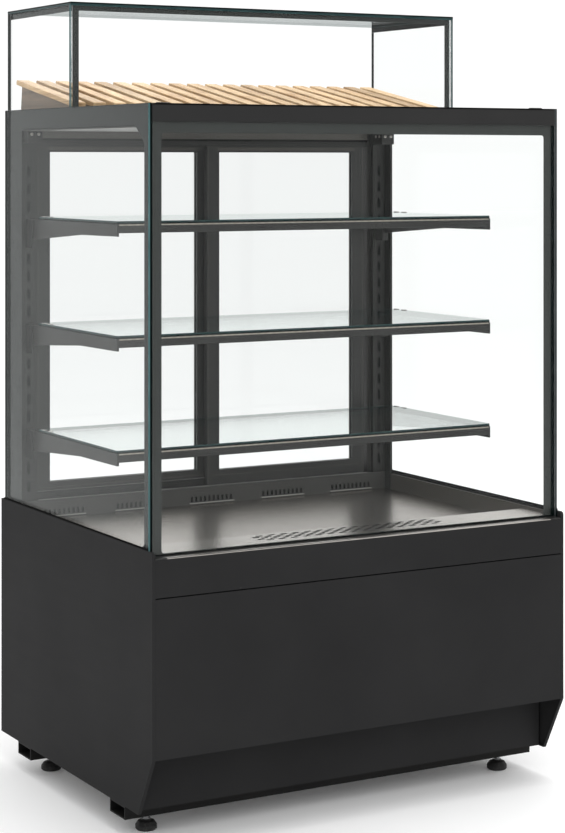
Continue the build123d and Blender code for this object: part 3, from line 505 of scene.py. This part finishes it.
def screws(name, spots, axis, body, r=0.0034, h=0.0016, mat=None, cross=True):
    """Pan-head screws with a cross recess, drawn as a flat black cross of painted shade."""
    bm = bmesh.new()
    ax = Vector(axis).normalized()
    side = ax.orthogonal().normalized()
    up = ax.cross(side)
    for c in spots:
        c = Vector(c)
        lathe(bm, c, ax, [(0, r), (h * 0.45, r), (h * 0.8, r * 0.82), (h, r * 0.5)], seg=20)
        # the recess is a flat black cross: painted shade
        if cross:
            for u, v in ((side, up), (up, side)):
                q = [c + ax * (h * 1.01) + u * a * r * 0.46 + v * b * r * 0.09 for a, b in ((-1, -1), (1, -1), (1, 1), (-1, 1))]
                f = bm.faces.new([bm.verts.new(p) for p in q])
                f.material_index = 1
    bmesh.ops.recalc_face_normals(bm, faces=bm.faces)
    return new_object(name, bm, [mat or M["steel_z"], M["rubber"]], body)


def pane(name, x, y, z, thin, body, node, face_mat, edges=("edge_light", "edge_dark"), arris=0.0005, soft_corners=0.0):
    """Glass pane as large as its CAD node: clear faces, ground edges in two tones across the thickness, a painted lit
    tone and a painted shaded tone; a third edge material paints shade on every edge behind the front one.
    """
    bm = bmesh.new()
    for (x0, x1), (y0, y1), (z0, z1) in zip(x, y, z):
        lo, hi = [x0, y0, z0], [x1, y1, z1]
        a, b = [i for i in range(3) if i != thin]
        mid = (lo[thin] + hi[thin]) / 2
        layers = [lo[thin], lo[thin] + arris, mid, hi[thin] - arris, hi[thin]]
        loops = []
        for k, d in enumerate(layers):
            inset = arris if k in (0, 4) else 0.0
            corners = [(lo[a] + inset, lo[b] + inset), (hi[a] - inset, lo[b] + inset), (hi[a] - inset, hi[b] - inset), (lo[a] + inset, hi[b] - inset)]
            pts = []
            if soft_corners:
                r = soft_corners
                for (cx, cy), start in zip(((lo[a] + r, lo[b] + r), (hi[a] - r, lo[b] + r), (hi[a] - r, hi[b] - r), (lo[a] + r, hi[b] - r)), (180, 270, 0, 90)):
                    for s in range(7):
                        t = math.radians(start + 15 * s)
                        pts.append((cx + (r - inset) * math.cos(t), cy + (r - inset) * math.sin(t)))
            else:
                pts = corners
            ring = []
            for u, v in pts:
                co = [0, 0, 0]
                co[thin], co[a], co[b] = d, u, v
                ring.append(bm.verts.new(co))
            loops.append(ring)
        n = len(loops[0])
        for k in range(4):
            for i in range(n):
                f = bm.faces.new((loops[k][i], loops[k][(i + 1) % n], loops[k + 1][(i + 1) % n], loops[k + 1][i]))
                f.material_index = 1 if (k < 2) == (outer_low(lo, hi, thin)) else 2
                # with a third edge material, every edge but the front one takes it: painted shade
                if len(edges) == 3 and f.calc_center_median()[1] > lo[1] + 0.002:
                    f.material_index = 3
        for ring in (loops[0], loops[-1]):
            f = bm.faces.new(ring)
            f.material_index = 0
    bmesh.ops.recalc_face_normals(bm, faces=bm.faces)
    ob = new_object(name, bm, [M[face_mat]] + [M[e] for e in edges], body)
    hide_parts(node)
    return ob


def outer_low(lo, hi, thin):
    # the painted lit tone is on the side that looks out of the case
    if thin == 0:
        return (lo[0] + hi[0]) < 0
    return thin == 1


def ring(name, axis, at, outer, inner, mat, body, corner=0.004, cut=None):
    """Printed border on a pane, a frame-shaped sheet with rounded inner corners. inner is a rectangle or a list of points."""
    u0, u1, v0, v1 = outer
    if len(inner) == 4 and not isinstance(inner[0], tuple):
        a0, a1, b0, b1 = inner
        inner = [(a0, b0), (a1, b0), (a1, b1), (a0, b1)]
    pts = []
    n = len(inner)
    for i in range(n):
        p, q, r = Vector(inner[i - 1]), Vector(inner[i]), Vector(inner[(i + 1) % n])
        d1, d2 = (p - q).normalized(), (r - q).normalized()
        ang = d1.angle(d2)
        t = corner / math.tan(ang / 2)
        a, b = q + d1 * t, q + d2 * t
        for s in range(6):
            f = s / 5
            pts.append((a * (1 - f) ** 2 + q * 2 * f * (1 - f) + b * f * f))
    bm = bmesh.new()

    def put(u, v):
        co = [0, 0, 0]
        co[axis] = at
        rest = [i for i in range(3) if i != axis]
        co[rest[0]], co[rest[1]] = u, v
        return bm.verts.new(co)

    outer_loop = [put(u, v) for u, v in ((u0, v0), (u1, v0), (u1, v1), (u0, v1))]
    inner_loop = [put(p.x, p.y) for p in pts]
    edges = [bm.edges.new((outer_loop[i], outer_loop[(i + 1) % 4])) for i in range(4)]
    edges += [bm.edges.new((inner_loop[i], inner_loop[(i + 1) % len(inner_loop)])) for i in range(len(inner_loop))]
    bmesh.ops.triangle_fill(bm, use_beauty=True, edges=edges)
    # triangle_fill may also fill the hole: drop faces whose centre is inside it
    def inside(c):
        rest = [i for i in range(3) if i != axis]
        x, y = c[rest[0]], c[rest[1]]
        hit = False
        m = len(pts)
        for i in range(m):
            (x1, y1), (x2, y2) = pts[i], pts[(i + 1) % m]
            if (y1 > y) != (y2 > y) and x < (x2 - x1) * (y - y1) / (y2 - y1) + x1:
                hit = not hit
        return hit
    drop = [f for f in bm.faces if inside(f.calc_center_median())]
    if drop:
        bmesh.ops.delete(bm, geom=drop, context="FACES_ONLY")
    return new_object(name, bm, mat, body)


# ------------------------------------------------------------------ glass panes
# the edge tones given to each pane are painted light and painted shade
pane("left_side_pane", [(-0.4483, -0.4423)], [(-0.3337, 0.3368)], [(0.494, 1.328)], 0, "cabinet", "left_side_glass", "glass", edges=("edge_light", "edge_dark", "edge_dark"))
pane("right_side_pane", [(0.4423, 0.4483)], [(-0.3337, 0.3368)], [(0.494, 1.328)], 0, "cabinet", "right_side_glass", "glass", edges=("edge_dark", "edge_grey", "edge_dark"))
pane("front_pane", [(-0.4413, 0.4413)], [(-0.3337, -0.3277)], [(0.5242, 1.3125)], 1, "front_window", "front_glass", "glass", edges=("edge_dark", "edge_dark"))
for i, top in enumerate((1.1132, 0.9002, 0.6872), 1):
    pane("shelf_%d_pane" % i, [(-0.4208, 0.4208)], [(-0.1441, 0.2297)], [(top - 0.006, top)], 2, "cabinet", "shelf_%d_glass" % i,
         "glass_shelf", edges=("edge_mid", "edge_dark"), soft_corners=0.004)
pane("bread_case_front_pane", [(-0.4413, 0.4413)], [(0.0222, 0.0282)], [(1.3276, 1.525)], 1, "cabinet", "bread_case_front_glass", "glass", edges=("edge_light", "edge_light"))
pane("bread_case_side_panes", [(-0.4413, -0.4353), (0.4353, 0.4413)], [(0.0282, 0.3396)] * 2, [(1.3276, 1.525)] * 2, 0, "cabinet", "bread_case_side_glasses", "glass", edges=("edge_dark", "edge_light", "edge_dark"))
pane("bread_case_top_pane", [(-0.4413, 0.4413)], [(0.0222, 0.3396)], [(1.525, 1.531)], 2, "cabinet", "bread_case_top_glass", "glass_top", edges=("edge_dark", "edge_mid"))

# ------------------------------------------------------------------ printed borders
ring("front_print", 1, -0.32762, (-0.4408, 0.4408, 0.5250, 1.2949), (-0.4195, 0.4195, 0.5262, 1.2754), M["print"], "front_window", corner=0.006)
for s, side in ((-1, "left"), (1, "right")):
    ring("%s_side_print" % side, 0, s * 0.44222, (-0.3332, 0.3363, 0.5270, 1.3275),
         [(-0.3042, 0.5400), (-0.2860, 0.5290), (0.2635, 0.5290), (0.2635, 1.2890)] + ([(-0.2670, 1.2890), (-0.3042, 1.2565)] if s < 0 else [(-0.3042, 1.2890)]),
         M["print_side"], "cabinet", corner=0.004)
ring("bread_case_front_print", 1, 0.02828, (-0.4348, 0.4348, 1.3278, 1.5245), (-0.4214, 0.4235, 1.3282, 1.5145), M["print"], "cabinet", corner=0.002)
for s, side in ((-1, "left"), (1, "right")):
    ring("bread_case_%s_print" % side, 0, s * 0.43524, (0.0285, 0.3390, 1.3278, 1.5245), (0.0290, 0.3360, 1.3282, 1.5135), M["print_side"], "cabinet", corner=0.0004)

# ------------------------------------------------------------------ seals, small fittings, painted shade and painted highlights
boxes("side_bedding_strips", [(s * 0.4484, s * 0.4499, -0.3338, 0.3368, 0.5342, 0.5378) for s in (-1, 1)], M["void"], "cabinet", bevel=0.0002)
# painted shade: dark sheets behind the slots of the uprights and under the slots of the front ledge
boxes("upright_slot_shade_sheets", [(s * 0.4065, s * 0.4315, 0.2846, 0.2852, 0.5345, 1.2615) for s in (-1, 1)], M["void"], "cabinet", bevel=0.0001)
# painted shade in each slot, with a thin dark rim of painted shade round it
boxes("upright_slot_painted_shade", [(s * 0.41540, s * 0.42260, 0.28188, 0.28265, 1.2141 - 0.0355 * k - 0.0215, 1.2141 - 0.0355 * k) for s in (-1, 1) for k in range(19)], M["void"], "cabinet", bevel=0)
boxes("ledge_slot_painted_shade", [(26e-3 * (i - (14 + row % 2) / 2) - 0.0066, 26e-3 * (i - (14 + row % 2) / 2) + 0.0066, -0.2570 - 0.0103 * row - 0.0040, -0.2570 - 0.0103 * row + 0.0040, 0.5252, 0.52608)
                            for row in range(5) for i in range(15 + row % 2)], M["void"], "cabinet", bevel=0)
# painted shade in the vents of the air outlet
boxes("vent_painted_shade", [(0.1728 * k + 0.0104 * (i - 4.5) - 0.0026, 0.1728 * k + 0.0104 * (i - 4.5) + 0.0026, 0.28325, 0.28365, 0.5030, 0.5140)
                      for k in range(-2, 3) for i in range(10)], M["void"], "cabinet", bevel=0)
# dark sheets under the front ledge and behind the air outlet: painted shade
boxes("ledge_shade_sheet", [(-0.4370, 0.4370, -0.3250, -0.2420, 0.5195, 0.5205)], M["void"], "cabinet", bevel=0.0001)
boxes("outlet_shade_sheet", [(-0.4350, 0.4350, 0.2870, 0.2880, 0.4990, 0.5310)], M["void"], "cabinet", bevel=0.0001)
# painted highlights along the track lips
boxes("track_lip_painted_highlights", [(-0.3940, 0.3940, 0.2923, 0.2947, 0.5337, 0.5341), (-0.3940, 0.3940, 0.3118, 0.3142, 0.5476, 0.5480),
                            (-0.3940, 0.3940, 0.2913, 0.2919, 0.5318, 0.5336)], M["strip_light"], "cabinet", bevel=0.0001)
# head of the doors: a painted shadow of a groove, and a rib, on the front lip of the top track
boxes("head_groove_painted_shadow", [(-0.3940, 0.3940, 0.2913, 0.2919, 1.2675, 1.2715)], M["void"], "cabinet", bevel=0.0001)
boxes("head_upper", [(-0.3940, 0.3940, 0.2911, 0.2919, 1.2717, 1.2857)], M["ceiling"], "cabinet", bevel=0.0002)
boxes("header_cap_line", [(-0.4405, 0.4405, -0.33620, -0.33505, 1.3252, 1.3279)], M["void"], "front_window", bevel=0.0002)
boxes("head_rib", [(-0.3940, 0.3940, 0.2910, 0.2919, 1.2600, 1.2612)], M["door"], "cabinet", bevel=0.0002)
# dark lines along the two ends of the front glass: painted shade
boxes("front_glass_end_painted_shade", [(-0.4412, -0.4378, -0.32769, -0.32764, 0.5250, 1.3120), (0.4376, 0.4412, -0.32769, -0.32764, 0.5250, 1.3120)], M["edge_dark"], "front_window", bevel=0)
boxes("corner_seals", [(s * 0.4405, s * 0.4421, -0.3265, -0.3120, 0.5330, 1.2850) for s in (-1, 1)], M["rubber"], "cabinet", bevel=0.0004)
boxes("lip_end_caps", [(s * 0.4200, s * 0.4425, -0.3518, -0.3342, 0.5222, 0.5227) for s in (-1, 1)]
      + [(s * 0.4200, s * 0.4425, -0.3523, -0.3517, 0.5206, 0.5227) for s in (-1, 1)], M["frame"], "cabinet", bevel=0.0002)
boxes("ceiling_liner", [(-0.4410, 0.4410, -0.2715, 0.2455, 1.2852, 1.2859), (-0.4410, 0.4410, -0.3055, -0.2985, 1.2852, 1.2859)], M["ceiling"], "cabinet", bevel=0.0002)

# door frames: glazing beads round the windows, and painted highlight lines along the stiles, the rails and the mitres
for name, body, (x0, x1), (w0, w1), y in (("left", "left_door", (-0.388, 0.011), (-0.358, -0.018), 0.316),
                                         ("right", "right_door", (-0.004, 0.388), (0.025, 0.358), 0.296)):
    z0, z1, g0, g1 = 0.535, 1.264, 0.5655, 1.2436
    for face, yy, d in (("front", y, -1), ("rear", y + 0.014, 1)):
        bm = bmesh.new()
        b = 0.0032
        for a in ((w0 - b, w0, g0 - b, g1 + b), (w1, w1 + b, g0 - b, g1 + b), (w0, w1, g1, g1 + b), (w0, w1, g0 - b, g0)):
            add_box(bm, a[0], a[1], yy, yy + d * 0.0006, a[2], a[3], bevel=0.00025)
        new_object("%s_door_bead_%s" % (name, face), bm, M["frame"], body)
        # light lines along the stiles, the rails and the mitres: painted highlights
        bm = bmesh.new()
        for xs in (x0 + 0.0035, x1 - 0.0035):
            add_box(bm, xs - 0.0007, xs + 0.0007, yy, yy + d * 0.0005, z0 + 0.002, z1 - 0.002, bevel=0.0002)
        add_box(bm, x0 + 0.006, x1 - 0.006, yy, yy + d * 0.0005, g1 + 0.0125, g1 + 0.0137, bevel=0.0002)
        add_box(bm, x0 + 0.006, x1 - 0.006, yy, yy + d * 0.0005, g0 - 0.0125, g0 - 0.0110, bevel=0.0002)
        # mitred corners of the frame, drawn as painted highlight lines
        for xa, xb in ((x0 + 0.004, w0 - b), (x1 - 0.004, w1 + b)):
            for za, zb in ((z0 + 0.004, g0 - b), (z1 - 0.004, g1 + b)):
                d1 = Vector((xb - xa, 0, zb - za))
                side = Vector((-d1.z, 0, d1.x)).normalized() * 0.0005
                q = [Vector((xa, yy + d * 0.0004, za)), Vector((xb, yy + d * 0.0004, zb))]
                loop = [bm.verts.new(v) for v in (q[0] - side, q[1] - side, q[1] + side, q[0] + side)]
                bm.faces.new(loop)
        new_object("%s_door_painted_highlights_%s" % (name, face), bm, M["warm_bead_and_painted_highlight"], body)
        boxes("%s_door_head_bead_%s" % (name, face), [(w0 - 0.004, w1 + 0.004, yy, yy + d * 0.0007, g1 + 0.0040, g1 + 0.0108)], M["warm_bead_and_painted_highlight"], body, bevel=0.0002)

# clips that hold each shelf glass to its arms, and the screws of the uprights' top blocks
clips = bmesh.new()
for top in (1.1132, 0.9002, 0.6872):
    for s in (-1, 1):
        for yc in (0.176, 0.206):
            add_box(clips, s * 0.4130, s * 0.4200, yc - 0.006, yc + 0.006, top, top + 0.0014, bevel=0.0005)
            add_box(clips, s * 0.4190, s * 0.4206, yc - 0.006, yc + 0.006, top - 0.0005, top + 0.0014, bevel=0.0004)
new_object("shelf_clips", clips, M["steel_z"], "cabinet")
screws("upright_screws", [(s * x, 0.2459, 1.279) for s in (-1, 1) for x in (0.4125, 0.4275)], (0, -1, 0), "cabinet", r=0.0032, mat=M["steel_lip"])
screws("upright_block_screws", [(s * 0.4036, y, 1.279) for s in (-1, 1) for y in (0.2555, 0.2700)], (-1, 0, 0), "cabinet", r=0.0028, mat=M["steel_lip"])
screws("grille_screws", [(x, 0.3281, z) for x in (-0.430, -0.215, 0.0, 0.215, 0.430) for z in (0.068, 0.326)], (0, 1, 0), "cabinet", r=0.0042, h=0.0020, mat=M["zinc"])
screws("panel_rear_screws", [(s * 0.4468, 0.3520, z) for s in (-1, 1) for z in (0.10, 0.29, 0.46)], (0, 1, 0), "cabinet", r=0.0018, h=0.0004, mat=M["zinc"])

# ------------------------------------------------------------------ control panel: display, digits, legends
boxes("display_glass", [(-0.4296, -0.3764, 0.3462, 0.3474, 0.4124, 0.4396)], M["display"], "cabinet", bevel=0.0003)


def digit(bm, cx, cz, w, h, y, on):
    # seven segments, seen from behind the case, so x runs the other way
    s = 0.0016
    segs = {"a": (0, h / 2, w - s, s), "g": (0, 0, w - s, s), "d": (0, -h / 2, w - s, s),
            "f": (w / 2, h / 4, s, h / 2 - s), "b": (-w / 2, h / 4, s, h / 2 - s),
            "e": (w / 2, -h / 4, s, h / 2 - s), "c": (-w / 2, -h / 4, s, h / 2 - s)}
    for k in on:
        x, z, ww, hh = segs[k]
        add_box(bm, cx + x - ww / 2, cx + x + ww / 2, y, y + 0.0001, cz + z - hh / 2, cz + z + hh / 2, bevel=0.00003, segments=1)


bm = bmesh.new()
digit(bm, -0.3960, 0.4262, 0.0098, 0.0180, 0.34745, "abcdef")
digit(bm, -0.4115, 0.4262, 0.0098, 0.0180, 0.34745, "fgbc")
new_object("display_digits", bm, M["digit"], "cabinet")

for body, x, shape in (("key_set_body", -0.366, "set"), ("key_down_body", -0.351, "down"), ("key_up_body", -0.336, "up")):
    bm = bmesh.new()
    z, y = 0.420, 0.35006
    if shape == "set":
        n = 24
        outer = [bm.verts.new((x + 0.0019 * math.cos(2 * math.pi * k / n), y, z + 0.0019 * math.sin(2 * math.pi * k / n))) for k in range(n)]
        inner = [bm.verts.new((x + 0.0012 * math.cos(2 * math.pi * k / n), y, z + 0.0012 * math.sin(2 * math.pi * k / n))) for k in range(n)]
        for k in range(n):
            bm.faces.new((outer[k], inner[k], inner[(k + 1) % n], outer[(k + 1) % n]))
    else:
        d = 1 if shape == "up" else -1
        bm.faces.new([bm.verts.new((x + a * 0.0022, y, z + b * d * 0.0016)) for a, b in ((-1, -1), (1, -1), (0, 1))])
    new_object("%s_mark" % shape, bm, M["legend"], body)

# on and off marks beside the rockers
bm = bmesh.new()
for x in (-0.319, -0.301):
    add_box(bm, x - 0.0003, x + 0.0003, 0.3480, 0.34805, 0.4392, 0.4422, bevel=0)
    n = 20
    o = [bm.verts.new((x + 0.0015 * math.cos(2 * math.pi * k / n), 0.34806, 0.4112 + 0.0015 * math.sin(2 * math.pi * k / n))) for k in range(n)]
    i = [bm.verts.new((x + 0.0010 * math.cos(2 * math.pi * k / n), 0.34806, 0.4112 + 0.0010 * math.sin(2 * math.pi * k / n))) for k in range(n)]
    for k in range(n):
        bm.faces.new((o[k], i[k], i[(k + 1) % n], o[(k + 1) % n]))
new_object("rocker_marks", bm, M["legend"], "cabinet")

# ------------------------------------------------------------------ studio
bm = bmesh.new()
bmesh.ops.create_grid(bm, x_segments=1, y_segments=1, size=40)
floor_me = bpy.data.meshes.new("floor")
bm.to_mesh(floor_me)
bm.free()
floor = bpy.data.objects.new("floor", floor_me)
scene.collection.objects.link(floor)
floor.location = (0, 0, -0.0002)
t = Tree("floor_white")
floor_me.materials.append(t.done(t.surface(t.mix(t.noise(0.6, 3), (0.94, 0.94, 0.94), (0.96, 0.96, 0.96)), 0.7, specular=0.2, emission=(1, 1, 1), emit=0.055)))

world = bpy.data.worlds.new("studio")
scene.world = world
world.use_nodes = True
bg = world.node_tree.nodes["Background"]
bg.inputs["Color"].default_value = (1.0, 1.0, 1.0, 1)
bg.inputs["Strength"].default_value = 1.05


def area(name, loc, target, size, power, colour=(1, 1, 1)):
    d = bpy.data.lights.new(name, "AREA")
    d.shape = "RECTANGLE"
    d.size, d.size_y = size
    d.energy = power
    d.color = colour
    o = bpy.data.objects.new(name, d)
    scene.collection.objects.link(o)
    o.location = loc
    o.rotation_euler = (Vector(target) - Vector(loc)).to_track_quat("-Z", "Y").to_euler()
    o.visible_camera = False
    return o


area("key", (-1.0, -4.6, 4.2), (0, 0, 0.8), (2.6, 2.6), 42)
area("top", (0.4, -0.4, 4.6), (0, 0, 0.6), (3.0, 3.0), 60)
area("fill", (3.6, -2.2, 2.4), (0, 0, 0.8), (2.0, 2.4), 16)
area("back", (0.6, 4.0, 3.2), (0, 0, 0.8), (2.6, 2.0), 26)
